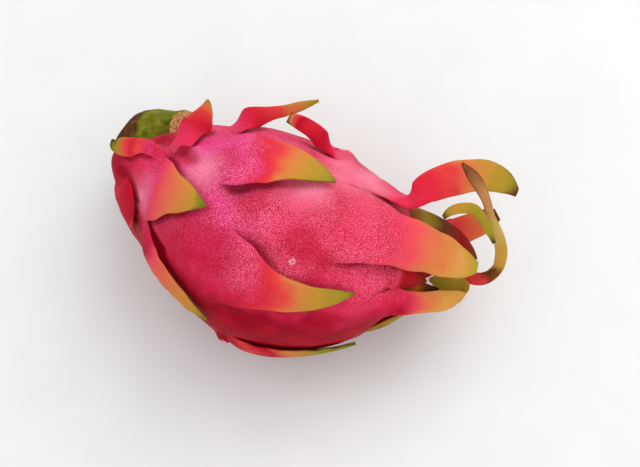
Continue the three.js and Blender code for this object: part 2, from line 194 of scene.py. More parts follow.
# Each scale: its node, the thickness at its root, the radius it curves round across its width (below 0 it
# curves outwards), its kind of colouring, and the stops down the middle of its outer face.
SCALES = [
    # round the stem
    (
        "scale_stem_front", 2.4, 34, "short",
        [
            on(44, 26, 1.2, 13),
            on(51, 23, 1.8, 11.5),
            on(59, 20, 3, 8),
            on(67, 18, 3.6, 4.6),
            on(73, 17, 2.6, 0.6),
        ],
    ),
    (
        "scale_stem_top", 2.2, 40, "erect",
        [
            on(47, -6, 1.6, 3.4),
            on(51, -13, 2.2, 5.4),
            free(-37.3, 16.8, 70.7, 6.2, [0.42, -0.6, 0.68]),
            free(-36.3, 21.0, 73.8, 4, [0.42, -0.6, 0.68]),
            free(-36.1, 23.9, 76.1, 2.2, [0.42, -0.6, 0.68]),
            free(-36.4, 26.1, 78.3, 0.5, [0.42, -0.6, 0.68]),
        ],
    ),
    (
        "scale_stem_left", 2.2, -16, "lobe",
        [
            on(43, 0, 1.2, 2.6),
            free(-52.5, 4.4, 65.4, 3, [-0.1, -0.4, 0.9]),
            free(-57, 3.2, 63.2, 3.6, [-0.1, -0.4, 0.9]),
            free(-61.5, 2.6, 61.2, 3.6, [-0.1, -0.4, 0.9]),
            free(-65, 2.6, 59.6, 2.4, [0, -0.4, 0.9]),
            free(-67.3, 4.2, 59, 0.5, [0, -0.4, 0.9]),
        ],
    ),
    (
        "scale_stem_low", 2.4, 24, "flush",
        [
            on(24, 46, 1.2, 6),
            on(29, 51, 1.8, 8),
            on(34, 57, 2.2, 8),
            on(38, 63, 2.2, 6),
            on(42, 69, 1.8, 0.8),
        ],
    ),
    (
        "scale_stem_side", 2.2, 26, "short",
        [
            on(48, 62, 1.3, 6),
            on(56, 66, 2.4, 5.4),
            on(64, 68, 3, 4.8),
            on(72, 70, 3.2, 4),
            on(79, 73, 3, 2.8),
            on(85, 78, 2, 0.5),
        ],
    ),
    (
        "scale_stem_back", 2.2, 30, "short",
        [on(44, -108, 1.3, 10), on(54, -110, 2.2, 9), on(65, -112, 3, 6), on(75, -113, 3, 0.6)],
    ),
    (
        "scale_stem_under", 2.2, 30, "short",
        [on(40, 152, 1.3, 10), on(50, 152, 2, 9), on(60, 150, 2.2, 6), on(68, 148, 2, 0.6)],
    ),
    (
        "scale_stem_under_back", 2.2, 30, "short",
        [on(43, -154, 1.3, 9.5), on(52, -152, 2.2, 9), on(62, -149, 3, 6), on(71, -147, 3, 0.6)],
    ),
    # round the belly
    (
        "scale_top", 2.4, 36, "belly",
        [
            on(70, -15, 1, 14),
            on(78, -18, 1.4, 13),
            on(86, -22, 2.2, 11),
            on(94, -23, 3.4, 8),
            on(102, -22, 4, 4.6),
            on(109, -22, 3.4, 0.5),
        ],
    ),
    (
        "scale_front", 2.4, 38, "belly",
        [
            on(82, 42, 1.2, 16),
            on(89, 42, 1.6, 13.5),
            on(97, 43, 2.6, 10.5),
            on(107, 43.5, 3.6, 7.4),
            on(117, 43, 4, 5.2),
            on(126, 41, 3.6, 3.3),
            on(134, 38, 3, 0.5),
        ],
    ),
    (
        "scale_low_front", 3.4, 30, "low",
        [
            on(88, 103, 1, 8),
            on(97, 103, 2.2, 8.5),
            on(108, 103, 2.6, 8),
            on(120, 105, 2.4, 6.6),
            on(131, 108, 2.6, 4.4),
            on(140, 111, 3.2, 0.8),
        ],
    ),
    (
        "scale_upper_back", 2, 14, "rose",
        [
            on(64, -44, 1.2, 7),
            free(-21.4, 32.2, 64.8, 4.6, [0.1, -0.5, 0.86]),
            free(-16.5, 36.1, 65.4, 2.8, [0.1, -0.6, 0.8]),
            free(-11.9, 39.5, 65.6, 2.2, [0.1, -0.6, 0.8]),
            free(-7.4, 43.2, 66.2, 1.9, [0.1, -0.7, 0.7]),
            free(-1.8, 47.9, 67.4, 0.5, [0, -0.7, 0.7]),
        ],
    ),
    (
        "scale_broken", 2.4, 12, "broken",
        [
            on(101, -55, 1.6, 4.4),
            free(5.5, 34.9, 65.8, 3.6, [0.2, -0.3, 0.93]),
            free(1.4, 35.2, 69, 3.2, [0.1, -0.4, 0.9]),
            free(-3.2, 34.6, 72.4, 2.8, [0.1, -0.4, 0.9]),
            free(-7.2, 33.6, 75, 2, [0.1, -0.4, 0.9]),
        ],
    ),
    (
        "scale_back", 2.4, 36, "belly",
        [
            on(84, -108, 1.3, 12),
            on(94, -110, 2, 10),
            on(106, -112, 2.8, 7),
            on(117, -113, 3, 4),
            on(126, -113, 2.4, 0.5),
        ],
    ),
    (
        "scale_low_back", 2.2, 36, "belly",
        [on(80, -141, 1.3, 10), on(90, -143, 2, 9), on(101, -144, 2.6, 7), on(112, -144, 2.6, 0.5)],
    ),
    # round the crown
    (
        "crown_scale_front", 2.8, 30, "crown",
        [
            on(113, -4, 1, 18),
            on(122, -5, 1.4, 16),
            on(133, -6, 2.2, 12.6),
            on(143, -6, 4, 10.4),
            free(57.5, 13.5, 60, 9, [0.45, -0.1, 0.9]),
            free(65, 15.5, 55, 7.8, [0.5, -0.15, 0.85]),
            free(71.5, 17.5, 50, 5.8, [0.5, -0.15, 0.85]),
            free(76.5, 19.8, 46, 2.2, [0.5, -0.15, 0.85]),
        ],
    ),
    (
        "crown_scale_top", 2.2, 60, "arch",
        [
            on(112, -50, 1, 10),
            on(123, -48, 1.4, 8.5),
            on(133, -46, 2.2, 6),
            free(45.5, 30, 63, 5, [0.1, 0, 1]),
            free(49.5, 35.5, 63.5, 5.8, [0, -0.25, 0.95]),
            free(57, 44, 61, 6.4, [0.15, -0.25, 0.95]),
            free(65.5, 52, 54.5, 6, [0.45, -0.2, 0.87]),
            free(73, 56, 47, 4.6, [0.6, -0.1, 0.8]),
            free(78, 56.5, 41, 1.8, [0.7, 0, 0.7]),
        ],
    ),
    (
        "crown_scale_behind_front", 1.8, 24, "dark_painted_shade",
        [
            on(146, -46, 1.4, 7),
            free(53, 25.5, 49.5, 7.6, [0.4, 0.2, 0.88]),
            free(61, 27, 45, 7.2, [0.4, 0.2, 0.88]),
            free(68, 27, 40.5, 6, [0.45, 0.2, 0.86]),
            free(74, 25, 37, 2.4, [0.5, 0.2, 0.84]),
        ],
    ),
    (
        "crown_scale_back_short", 1.8, 40, "orange",
        [
            on(142, -86, 1.4, 7),
            free(57.5, 31, 34.5, 6, [0.1, -0.2, 0.97]),
            free(64, 36.5, 33.5, 5.4, [0.1, -0.2, 0.97]),
            free(71, 44, 34.5, 4.4, [0, -0.2, 0.97]),
            free(74, 47.5, 35.5, 2.4, [0, -0.2, 0.97]),
        ],
    ),
    (
        "crown_scale_curled", 1.6, 8, "ribbon",
        [
            on(168, -60, 1.6, 3.2),
            free(64, 19, 31.5, 2.8, [0.2, -0.5, 0.85]),
            free(72, 19.3, 33.3, 2.6, [0.1, -0.5, 0.86]),
            free(79, 19.8, 37, 2.4, [-0.1, -0.5, 0.86]),
            free(83.2, 23.2, 43.1, 2.3, [0.3, -0.5, 0.8]),
            free(82.5, 27.9, 50, 2.4, [0.4, -0.4, 0.8]),
            free(79, 31.1, 56, 2.4, [0.4, -0.3, 0.85]),
            free(74.4, 33.6, 61.8, 1.9, [0.3, -0.3, 0.9]),
            free(71.2, 36.9, 65.8, 1.7, [0.2, -0.3, 0.93]),
            free(66.6, 40.1, 69.5, 2.2, [0.1, -0.3, 0.93]),
            free(62.2, 42.3, 71.6, 2.1, [0, -0.3, 0.95]),
            free(57.2, 44.6, 72.9, 0.5, [0, -0.3, 0.95]),
        ],
    ),
    (
        "crown_scale_thin", 1.3, 8, "straw",
        [
            free(79, 27, 57.1, 0.7, [0.2, -0.3, 0.93]),
            free(75.8, 29, 61.3, 1.6, [0.2, -0.3, 0.93]),
            free(71.3, 31.2, 65.1, 1.9, [0.1, -0.3, 0.93]),
            free(67.5, 32.2, 66.8, 2.1, [0, -0.3, 0.95]),
            free(63.4, 30.6, 67, 2, [0, -0.3, 0.95]),
            free(60.1, 28.2, 65.8, 1.7, [-0.1, -0.2, 0.95]),
            free(58.5, 25.8, 63.6, 0.9, [-0.2, -0.1, 0.95]),
        ],
    ),
    (
        "crown_scale_folded", 2, 30, "folded",
        [
            on(141, 60, 1.2, 8),
            free(52.2, -8.2, 49, 6.2, [0.35, -0.55, 0.75]),
            free(58.5, -4.4, 46, 4.8, [0.3, -0.5, 0.8]),
            free(63.7, -0.2, 42.6, 4.2, [0.3, -0.5, 0.8]),
            free(69.2, 4.6, 39.2, 4, [0.2, -0.45, 0.87]),
            free(73.6, 8.4, 37.6, 3, [0.6, -0.4, 0.7]),
            free(75.8, 10.8, 35.8, 2.5, [0.95, -0.2, -0.1]),
            free(73.7, 14.8, 34.4, 3, [0.3, 0.3, -0.9]),
            free(70.5, 13.7, 34.6, 3.8, [0.1, 0.35, -0.93]),
            free(67.1, 12.9, 34.8, 3.6, [0.1, 0.35, -0.93]),
            free(63.5, 12.4, 35.3, 2.2, [0.1, 0.35, -0.93]),
            free(60.9, 11.9, 35.5, 0.6, [0.1, 0.35, -0.93]),
        ],
    ),
    (
        "crown_scale_rolled", 1.6, 5, "blood",
        [
            on(154, 28, 1.2, 4.6),
            free(53.4, 2.6, 48.9, 4.8, [0.3, -0.5, 0.8]),
            free(56, 4.7, 46.6, 3.8, [0.3, -0.5, 0.8]),
            free(58.6, 6.3, 45.7, 2.2, [0.2, -0.5, 0.83]),
            free(61.4, 6.9, 45.6, 0.5, [0.2, -0.5, 0.83]),
        ],
    ),
    (
        "crown_scale_dry", 1.4, 9, "dry",
        [
            on(167, 66, 1.4, 2.6),
            free(59.6, 5, 40.4, 2.4, [0.2, -0.4, 0.9]),
            free(63, 6.1, 39.6, 2.3, [0.2, -0.4, 0.9]),
            free(66.4, 7.4, 39, 1.6, [0.2, -0.3, 0.93]),
        ],
    ),
    (
        "crown_scale_under_front", 2.2, 26, "dark_painted_shade",
        [
            on(146, 128, 1.3, 8),
            on(153, 126, 3, 7.6),
            free(59, 8, 18, 6, [0.45, -0.3, -0.85]),
            free(65, 12, 15, 4, [0.3, -0.2, -0.93]),
            free(70.5, 15, 14.5, 0.6, [0.1, -0.2, -0.97]),
        ],
    ),
    (
        "crown_scale_under", 2.2, 26, "crown",
        [
            on(136, -176, 1.3, 9),
            on(145, -172, 2.4, 8),
            free(56, 25, 12, 6.4, [0.5, 0.1, -0.85]),
            free(64, 29, 10.5, 4, [0.2, 0.1, -0.97]),
            free(70, 32, 12.5, 0.6, [0, 0.1, -1]),
        ],
    ),
    (
        "crown_scale_back", 2.2, 28, "crown",
        [
            on(130, -132, 1.3, 10),
            on(141, -132, 2.6, 8.5),
            free(54, 36, 19, 6.5, [0.3, 0.8, -0.5]),
            free(61, 42.5, 19.5, 4.4, [0.1, 0.85, -0.5]),
            free(67, 49, 22.5, 0.6, [-0.1, 0.85, -0.5]),
        ],
    ),
]


# ---- meshes ------------------------------------------------------------------------------------------
def make_piece(name, rings, attributes, material, node):
    """Makes a piece of the object: a closed smooth mesh through rings of points, with its attributes."""
    count = rings.shape[1]
    points = rings.reshape(-1, 3)
    faces = []
    for i in range(len(rings) - 1):
        for j in range(count):
            k = (j + 1) % count
            faces.append((i * count + j, i * count + count + j, i * count + count + k, i * count + k))
    last = len(points) - count
    for j in range(count // 2 - 1):
        rung = [j, j + 1, count - 2 - j, count - 1 - j]
        faces.append(rung)
        faces.append([last + corner for corner in reversed(rung)])
    mesh = bpy.data.meshes.new(name)
    mesh.from_pydata((points * MM).tolist(), [], faces)
    mesh.update()
    mesh.shade_smooth()
    for key, values in attributes.items():
        layer = mesh.attributes.new(key, "FLOAT", "POINT")
        layer.data.foreach_set("value", np.ascontiguousarray(values, np.float32).ravel())
    mesh.materials.append(material)
    piece = bpy.data.objects.new(name, mesh)
    bpy.context.scene.collection.objects.link(piece)
    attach(piece, "root")
    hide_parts(node)


def spline(stops, samples):
    """A uniform Catmull-Rom curve through rows of numbers, its end rows mirrored outwards."""
    rows = np.vstack([2 * stops[0] - stops[1], stops, 2 * stops[-1] - stops[-2]])
    u = np.linspace(0, len(stops) - 1, samples)
    i = np.minimum(u.astype(int), len(stops) - 2)
    t = (u - i)[:, None]
    a, b, c, d = rows[i], rows[i + 1], rows[i + 2], rows[i + 3]
    return 0.5 * (
        2 * b + (c - a) * t + (2 * a - 5 * b + 4 * c - d) * t**2 + (3 * b - 3 * c + d - a) * t**3
    )


RIPPLE_WAVES = 9
RIPPLE_LENGTHS = (0.7, 1.4)  # the shares of the wavelength that its waves have
RIPPLE_HEIGHT = 4  # about the highest that the waves add up to


def ripple(points, wavelength, seed):
    """A smooth field from about -1 to 1, with humps about this far apart."""
    random = np.random.default_rng(seed)
    total = np.zeros(points.shape[:-1])
    for _ in range(RIPPLE_WAVES):
        direction = unit(random.normal(size=3))
        length = wavelength * random.uniform(*RIPPLE_LENGTHS)
        total += np.sin(points @ (direction * 2 * math.pi / length) + random.uniform(0, 2 * math.pi))
    return total / RIPPLE_HEIGHT


def unevenness(points, layers):
    """The sum of layers of ripple, each a height, a wavelength and a seed."""
    return sum(height * ripple(points, wavelength, seed) for height, wavelength, seed in layers)


# ---- the scales --------------------------------------------------------------------------------------
SINK = 0.9  # how deep a scale's root is buried in the skin
ROOT_LENGTH = 8  # how far the buried root reaches back from the first stop
ROOT_REACH = 4  # a scale whose first stop is lower than this above the skin grows out of it
ROOT_THICKNESS = 1
ROOT_END = (0.02, 0.3)  # the shares of a scale's length between which it rises out of the skin
ROOT_BEND = 0.04  # how much later than the middle the sides rise
INNER_CLEARANCE = 0.25  # how far a free scale's inner and outer face stay off the skin
OUTER_CLEARANCE = 1
LEAST_HALF_WIDTH = 0.35
LEAST_TIP = 0.7  # the least thickness of a tip
TIP_SHARE = 0.4  # the share of the root's thickness that a thick scale keeps at its tip
ACROSS_POWER = 0.8  # the section's shape: both powers at 1 make an ellipse, and lower ones a squarer one
FACE_POWER = 0.7
FRILL = 0.25  # how far the edges wave up and down
FRILL_LENGTH = 7
FRILL_FROM = 0.6  # how far out across the scale the frill starts
WAVER = 0.03  # the share that the width comes and goes by
WAVER_LENGTH = 11
WAVER_SEED = 50
SCALE_AROUND = 40
SAMPLES_PER_STOP = 12


def with_root(stops):
    """The stops, after a buried one if the scale grows out of the skin, and whether it does."""
    if above_skin(stops[0, :3])[0] >= ROOT_REACH:
        return stops, False
    root = stops[0].copy()
    step = stops[1, :3] - stops[0, :3]
    root[:3] -= unit(step) * min(np.linalg.norm(step), ROOT_LENGTH)
    height, normal = above_skin(root[:3])
    root[:3] -= normal * (height + SINK)
    root[3:6] = normal
    return np.vstack([root, stops]), True


def off_skin(points, face, grown):
    """The points pushed clear of the skin where the scale is free of it, and into it where it isn't."""
    height, normal = above_skin(points)
    least = INNER_CLEARANCE + (OUTER_CLEARANCE - INNER_CLEARANCE) * np.maximum(face, 0)
    buried = -SINK + ROOT_THICKNESS / 2 * (face - 1)
    wanted = np.maximum(height, least) * grown + buried * (1 - grown)
    points = points + normal * (wanted - height)[..., None]
    points[..., 2] = np.maximum(points[..., 2], TABLE_GAP)
    return points


def squared(values, power):
    """Sines or cosines drawn towards -1 and 1 by a power below 1."""
    return np.sign(values) * np.abs(values) ** power


def scale_rings(index, thick, wrap, stops):
    """The rings of a scale's mesh, and its attributes. The index seeds its unevenness."""
    stops, rooted = with_root(np.array(stops, float))
    curve = spline(stops, SAMPLES_PER_STOP * len(stops))
    centre = curve[:, :3]
    tangent = unit(np.gradient(centre, axis=0))
    side = unit(np.cross(tangent, curve[:, 3:6]))
    out = np.cross(side, tangent)
    half_width = np.maximum(curve[:, 6], LEAST_HALF_WIDTH)
    length = np.concatenate([[0], np.cumsum(np.linalg.norm(np.diff(centre, axis=0), axis=1))])
    along = length / length[-1]
    blade = thick + (max(LEAST_TIP, thick * TIP_SHARE) - thick) * along

    angle = 2 * math.pi * (np.arange(SCALE_AROUND) + 0.5) / SCALE_AROUND
    across = squared(np.cos(angle), ACROSS_POWER)
    face = squared(np.sin(angle), FACE_POWER)
    frill = FRILL * ripple(centre, FRILL_LENGTH, index)[:, None] * smooth(FRILL_FROM, 1, np.abs(across))
    waver = 1 + WAVER * ripple(centre, WAVER_LENGTH, index + WAVER_SEED)[:, None]
    turn = half_width[:, None] * across * waver / wrap
    rise = blade[:, None] / 2 * (face - 1) + frill - wrap * (1 - np.cos(turn))
    points = (
        centre[:, None]
        + side[:, None] * (wrap * np.sin(turn))[..., None]
        + out[:, None] * rise[..., None]
    )

    shape = points.shape[:2]
    late = ROOT_BEND * across**2
    grown = smooth(*ROOT_END, along[:, None] - late) if rooted else np.ones(shape)
    points = off_skin(points, face, grown)
    attributes = {
        "along": np.broadcast_to(along[:, None], shape),
        "across": np.broadcast_to(across, shape),
        "inner": np.broadcast_to(face < 0, shape),
        "free": grown,
    }
    return points, attributes | skin_shades(points)


# ---- the fruit ---------------------------------------------------------------------------------------
BODY_ALONG = 300
BODY_AROUND = 280
END_GAP = 0.004  # how far in radians the first and the last ring are from the ends
CREASE_SPREAD = 2.3  # how far in mm the crease and its painted shade beside a scale's edge spread
CREASE_DEPTH = 0.5
EDGE_ACROSS = 0.9  # how far out across a scale its edge starts
EDGE_FREE = 0.05  # how far a scale has risen out of the skin where its edge starts
EDGES_AT_ONCE = 200
SKIN_WAVES = [(0.3, 22, 1), (0.12, 8, 2)]  # the height and length in mm, and the seed
SCAR_RISE = 0.3
SCAR_WAVES = [(0.35, 2.6, 3)]


def crease_shade(points, scales):
    """How near points of the skin are to the free edges of the scales: 1 at an edge, falling to 0. It
    both dents the skin there and paints shade on it.
    """
    edges = []
    for rings, attributes in scales:
        on_edge = (np.abs(attributes["across"]) > EDGE_ACROSS) & (attributes["free"] > EDGE_FREE)
        penalty = -(CREASE_SPREAD**2) * np.log(attributes["free"][on_edge])
        edges.append(np.column_stack([rings[on_edge], penalty]))
    edges = np.vstack(edges)
    flat = points.reshape(-1, 3)
    near = np.full(len(flat), np.inf)
    for start in range(0, len(edges), EDGES_AT_ONCE):
        some = edges[start : start + EDGES_AT_ONCE]
        squares = (flat**2).sum(1)[:, None] + (some[:, :3] ** 2).sum(1) - 2 * flat @ some[:, :3].T
        near = np.minimum(near, (np.maximum(squares, 0) + some[:, 3]).min(1))
    return np.exp(-near / CREASE_SPREAD**2).reshape(points.shape[:-1])


def spot_shade(points, spots):
    """1 in the middle of each spot of the skin, falling to 0 past its radius."""
    total = np.zeros(points.shape[:-1])
    for place, radius in spots:
        centre = skin(*np.radians(place))[0]
        distance = np.linalg.norm(points - centre, axis=-1)
        total = np.maximum(total, np.exp(-((distance / radius) ** 2)))
    return total


def skin_shades(points):
    """How much painted sheen and how much flush there is at points of the skin."""
    return {"painted_sheen": spot_shade(points, PAINTED_SHEENS), "flush": spot_shade(points, FLUSHES)}


def body_rings(scales):
    """The rings of the fruit's mesh, with its crease-and-painted-shade, scar, painted sheen and flush
    attributes.
    """
    latitude = np.linspace(END_GAP, math.pi - END_GAP, BODY_ALONG)[:, None]
    longitude = -np.linspace(0, 2 * math.pi, BODY_AROUND, endpoint=False)
    latitude, longitude = np.broadcast_arrays(latitude, longitude)
    points, normals = skin(latitude, longitude)
    crease_and_painted_shade = crease_shade(points, scales)
    scar = spot_shade(points, SCARS)
    relief = fold_rise(egg(latitude, longitude)[0], CREASES) - CREASE_DEPTH * crease_and_painted_shade
    relief += unevenness(points, SKIN_WAVES)
    relief += scar * (SCAR_RISE + unevenness(points, SCAR_WAVES))
    points = points + normals * relief[..., None]
    points[..., 2] = np.maximum(points[..., 2], 0)
    return points, {"crease_and_painted_shade": crease_and_painted_shade, "scar": scar} | skin_shades(points)


# ---- materials ---------------------------------------------------------------------------------------
def srgb(red, green, blue):
    """A colour given in 0 to 255 display steps, as Blender's linear colour."""
    steps = [value / 255 for value in (red, green, blue)]
    return tuple(s / 12.92 if s <= 0.04045 else ((s + 0.055) / 1.055) ** 2.4 for s in steps) + (1,)


VIOLET_PINK = srgb(214, 44, 128)
PINK = srgb(214, 34, 78)
ROSE = srgb(218, 48, 86)
SCARLET = srgb(190, 26, 34)
RED = srgb(206, 34, 52)
DARK_CRIMSON = srgb(134, 0, 22)
CRIMSON = srgb(180, 8, 40)
DEEP_RED = srgb(136, 4, 20)
PALE_PINK = srgb(248, 150, 176)
SALMON = srgb(222, 76, 84)
APRICOT = srgb(210, 148, 72)
CORAL = srgb(218, 66, 64)
PEACH = srgb(206, 122, 64)
ORANGE = srgb(206, 108, 30)
YELLOW_OLIVE = srgb(184, 138, 48)
OLIVE = srgb(150, 134, 36)
LIME = srgb(174, 152, 46)
DARK_OLIVE = srgb(112, 104, 32)
GREEN = srgb(104, 116, 26)
TAN = srgb(182, 128, 76)
STRAW = srgb(186, 160, 84)
BROWN = srgb(96, 52, 22)
DARK_BROWN = srgb(44, 26, 16)
CREAM = srgb(228, 194, 150)
STEM_GREENS = [(0.3, srgb(60, 62, 8)), (0.5, srgb(98, 100, 14)), (0.7, srgb(128, 130, 30))]
STEM_CORKS = [(0.3, srgb(52, 30, 10)), (0.7, srgb(104, 68, 26))]
STEM_TANS = [(0.35, srgb(140, 84, 42)), (0.6, srgb(214, 164, 108))]
FLOOR_WHITES = [(0.3, srgb(222, 222, 220)), (0.7, srgb(226, 226, 224))]

SKIN_FLESH = 0.1  # the share of light that goes through the flesh
STUB_FLESH = 0.05
FLESH_REACH = (1.0, 0.25, 0.15)  # how far red, green and blue light goes, of FLESH_DEPTH
FLESH_DEPTH = 0.002
GLOSS = 0.05  # how strongly the surface mirrors
SKIN_ROUGHNESS = 0.5
TIP_ROUGHNESS = 0.55
STUB_ROUGHNESS = 0.6

# Humps per metre of the patterns.
FLOOR_CLOUDS = 30
TONE_CLOUDS = 45
SPECKLE_CLOUDS = 60
SHEEN_CLOUDS = 90
RED_CLOUDS = 110
SCALE_CLOUDS = 160
SKIN_HUMPS = 180
STEM_CLOUDS = 220
CORK_CLOUDS = 420
STEM_HUMPS = 500
TORN_CLOUDS = 900
TAN_CLOUDS = 900
CELLS = 1300
GRANULES = 2400

# Relief in metres.
GRANULE_RELIEF = 0.00008
STREAK_RELIEF = 0.0002
SKIN_RELIEF = 0.0005
STEM_RELIEF = 0.0008

# Where the skin's colours change, in metres in the row frame.
PAINTED_SHADE_HEIGHTS = (0.032, 0.08)  # painted shade: from dark red low down to rose on top
SPECKLE_HEIGHTS = (0.054, 0.078)  # the pale granules come in; keeping them off the lower skin is painted shade
VIOLET_HEIGHTS = (0.058, 0.076)  # the violet comes in
VIOLET_X = (0.02, -0.03)
CROWN_X = (0.02, 0.06)  # towards the crown the colours of the top reach lower
CROWN_LOWERING = 0.014
CLOUD_SWAY = 0.03  # how far the changes wander
MOST_FLUSH = 0.75  # the share of crimson in the middle of a flush

# The cells are warped by this share of a noise that has this share of their humps.
CELL_WARP = 0.0012
CELL_WARP_CLOUDS = 0.35


class Graph:
    """A material's nodes. An input given as a socket is linked, and any other value is set."""

    def __init__(self, name):
        self.material = bpy.data.materials.new(name)
        self.material.use_nodes = True
        self.tree = self.material.node_tree
        self.tree.nodes.clear()

    def add(self, kind, inputs, **settings):
        """A node with its settings and inputs."""
        node = self.tree.nodes.new("ShaderNode" + kind)
        for key, value in settings.items():
            setattr(node, key, value)
        for key, value in inputs.items():
            if isinstance(value, bpy.types.NodeSocket):
                self.tree.links.new(value, node.inputs[key])
            else:
                node.inputs[key].default_value = value
        return node

    def attribute(self, name):
        """A per-point number of the mesh."""
        return self.add("Attribute", {}, attribute_name=name).outputs["Fac"]

    def place(self):
        """The point in the row frame."""
        return self.add("TexCoord", {}).outputs["Object"]

    def math(self, operation, first, second=0.0):
        """One sum on two numbers."""
        return self.add("Math", {0: first, 1: second}, operation=operation).outputs[0]

    def step(self, value, low, high, start=0.0, end=1.0):
        """The value's smooth step from low to high, as start to end."""
        inputs = {"Value": value, "From Min": low, "From Max": high, "To Min": start, "To Max": end}
        return self.add("MapRange", inputs, interpolation_type="SMOOTHSTEP").outputs[0]

    def mix(self, share, first, second, blend="MIX"):
        """The first colour with this share of the second."""
        node = self.add("Mix", {0: share, 6: first, 7: second}, data_type="RGBA", blend_type=blend)
        return node.outputs[2]

    def noise(self, scale, detail=2.0, rough=0.5, vector=None, stretch=None):
        """Cloudy noise with this many humps per metre, as a number about 0.5."""
        vector = vector or self.place()
        if stretch:
            vector = self.add("Mapping", {"Vector": vector, "Scale": stretch}).outputs[0]
        inputs = {"Vector": vector, "Scale": scale, "Detail": detail, "Roughness": rough}
        return self.add("TexNoise", inputs).outputs[0]

    def sway(self, scale, amount):
        """Cloudy noise about 0, whose lows and highs differ by up to this amount."""
        return self.math("MULTIPLY", self.math("SUBTRACT", self.noise(scale, 3), 0.5), amount)

    def cells(self, scale):
        """The distance to the nearest cell centre, with this many cells per metre."""
        inputs = {"Vector": self.place(), "Scale": scale * CELL_WARP_CLOUDS}
        warp = self.add("TexNoise", inputs).outputs["Color"]
        vector = self.mix(CELL_WARP, self.place(), warp, "LINEAR_LIGHT")
        return self.add("TexVoronoi", {"Vector": vector, "Scale": scale}).outputs["Distance"]

    def ramp(self, value, stops):
        """A colour along stops of (position, colour)."""
        node = self.add("ValToRGB", {"Fac": value})
        elements = node.color_ramp.elements
        elements[0].position, elements[0].color = stops[0]
        elements[1].position, elements[1].color = stops[-1]
        for position, colour in stops[1:-1]:
            elements.new(position).color = colour
        return node.outputs["Color"]

    def bump(self, height, distance, strength=1.0, normal=None):
        """Relief of this many metres."""
        inputs = {"Height": height, "Distance": distance, "Strength": strength}
        if normal:
            inputs["Normal"] = normal
        return self.add("Bump", inputs).outputs[0]

    def finish(self, colour, roughness, normal, flesh):
        """The surface itself: a waxy skin over flesh that lets a little light through."""
        shader = self.add(
            "BsdfPrincipled",
            {
                "Base Color": colour,
                "Roughness": roughness,
                "Normal": normal,
                "Subsurface Weight": flesh,
                "Subsurface Radius": FLESH_REACH,
                "Subsurface Scale": FLESH_DEPTH,
                "Specular IOR Level": GLOSS,
            },
        )
        output = self.add("OutputMaterial", {})
        self.tree.links.new(shader.outputs[0], output.inputs[0])
        return self.material


def skin_speckle(graph):
    """The skin's fine granules, from 0 between them to 1 on them."""
    granules = graph.step(graph.noise(GRANULES, 1, 0.6), 0.46, 0.6)
    dots = graph.step(graph.cells(CELLS), 0.5, 0.2)
    faint = graph.math("MULTIPLY", granules, 0.7)
    return graph.math("MAXIMUM", faint, graph.math("MULTIPLY", dots, granules))


def skin_tone(graph, level, stemward, flush):
    """The skin's pink, with painted shade by the height above the table from dark red low down to rose on
    top, violet by the stem, with its redder patches.
    """
    base = graph.ramp(
        graph.step(level, *PAINTED_SHADE_HEIGHTS),
        [(0.0, DEEP_RED), (0.42, DARK_CRIMSON), (0.64, PINK), (1.0, ROSE)],
    )
    high = graph.step(level, *VIOLET_HEIGHTS)
    base = graph.mix(graph.math("MULTIPLY", stemward, high), base, VIOLET_PINK)
    base = graph.mix(flush, base, CRIMSON)
    patches = graph.step(graph.noise(RED_CLOUDS, 3), 0.44, 0.62, 0.0, 0.5)
    return graph.mix(patches, base, CRIMSON)


def skin_colour(graph):
    """The skin's colour with its painted shade, painted sheen and pale granules, and the granules
    themselves.
    """
    x, _, z = graph.add("SeparateXYZ", {0: graph.place()}).outputs
    cloud = graph.sway(TONE_CLOUDS, CLOUD_SWAY)
    crownward = graph.step(x, *CROWN_X, 0.0, CROWN_LOWERING)
    level = graph.math("ADD", graph.math("ADD", z, cloud), crownward)
    stemward = graph.step(graph.math("ADD", x, cloud), *VIOLET_X)
    flush = graph.step(graph.attribute("flush"), 0.1, 0.9, 0.0, MOST_FLUSH)
    base = skin_tone(graph, level, stemward, flush)

    speckle = skin_speckle(graph)
    base = graph.mix(graph.step(speckle, 0.5, 0.0, 0.0, 0.4), base, CRIMSON)
    # painted sheen: pale pink patches in the listed spots, where the light would catch the skin
    sheen_patches = graph.step(graph.noise(SHEEN_CLOUDS, 3), 0.3, 0.7, 0.35, 0.65)
    base = graph.mix(graph.math("MULTIPLY", graph.attribute("painted_sheen"), sheen_patches), base, PALE_PINK)

    # painted shade: the pale granules fade out lower down
    top = graph.step(level, *SPECKLE_HEIGHTS)
    patches = graph.step(graph.noise(SPECKLE_CLOUDS, 2), 0.35, 0.65, 0.4, 0.85)
    amount = graph.math("MULTIPLY", patches, top)
    amount = graph.math("MULTIPLY", amount, graph.step(flush, 0.0, MOST_FLUSH, 0.75, 0.4))
    return graph.mix(graph.math("MULTIPLY", speckle, amount), base, PALE_PINK), speckle


def skin_relief(graph, speckle):
    """The skin's own fine relief."""
    normal = graph.bump(speckle, GRANULE_RELIEF, 0.5)
    return graph.bump(graph.noise(SKIN_HUMPS, 3), SKIN_RELIEF, 0.4, normal)


def body_material():
    """The fruit's skin, with painted shade beside the scales' edges and with pale torn marks."""
    graph = Graph("fruit_skin")
    colour, speckle = skin_colour(graph)
    # painted shade: deep red along the scales' free edges, where they shade the skin
    crease_and_painted_shade = graph.step(graph.attribute("crease_and_painted_shade"), 0.15, 0.9, 0.0, 0.8)
    colour = graph.mix(crease_and_painted_shade, colour, DEEP_RED)
    torn = graph.math("MULTIPLY", graph.attribute("scar"), graph.noise(TORN_CLOUDS, 4, 0.8))
    tissue = graph.ramp(
        graph.step(torn, 0.2, 0.55),
        [(0.0, CRIMSON), (0.5, PALE_PINK), (0.8, TAN), (1.0, BROWN)],
    )
    colour = graph.mix(graph.step(torn, 0.2, 0.34), colour, tissue)
    return graph.finish(colour, SKIN_ROUGHNESS, skin_relief(graph, speckle), SKIN_FLESH)


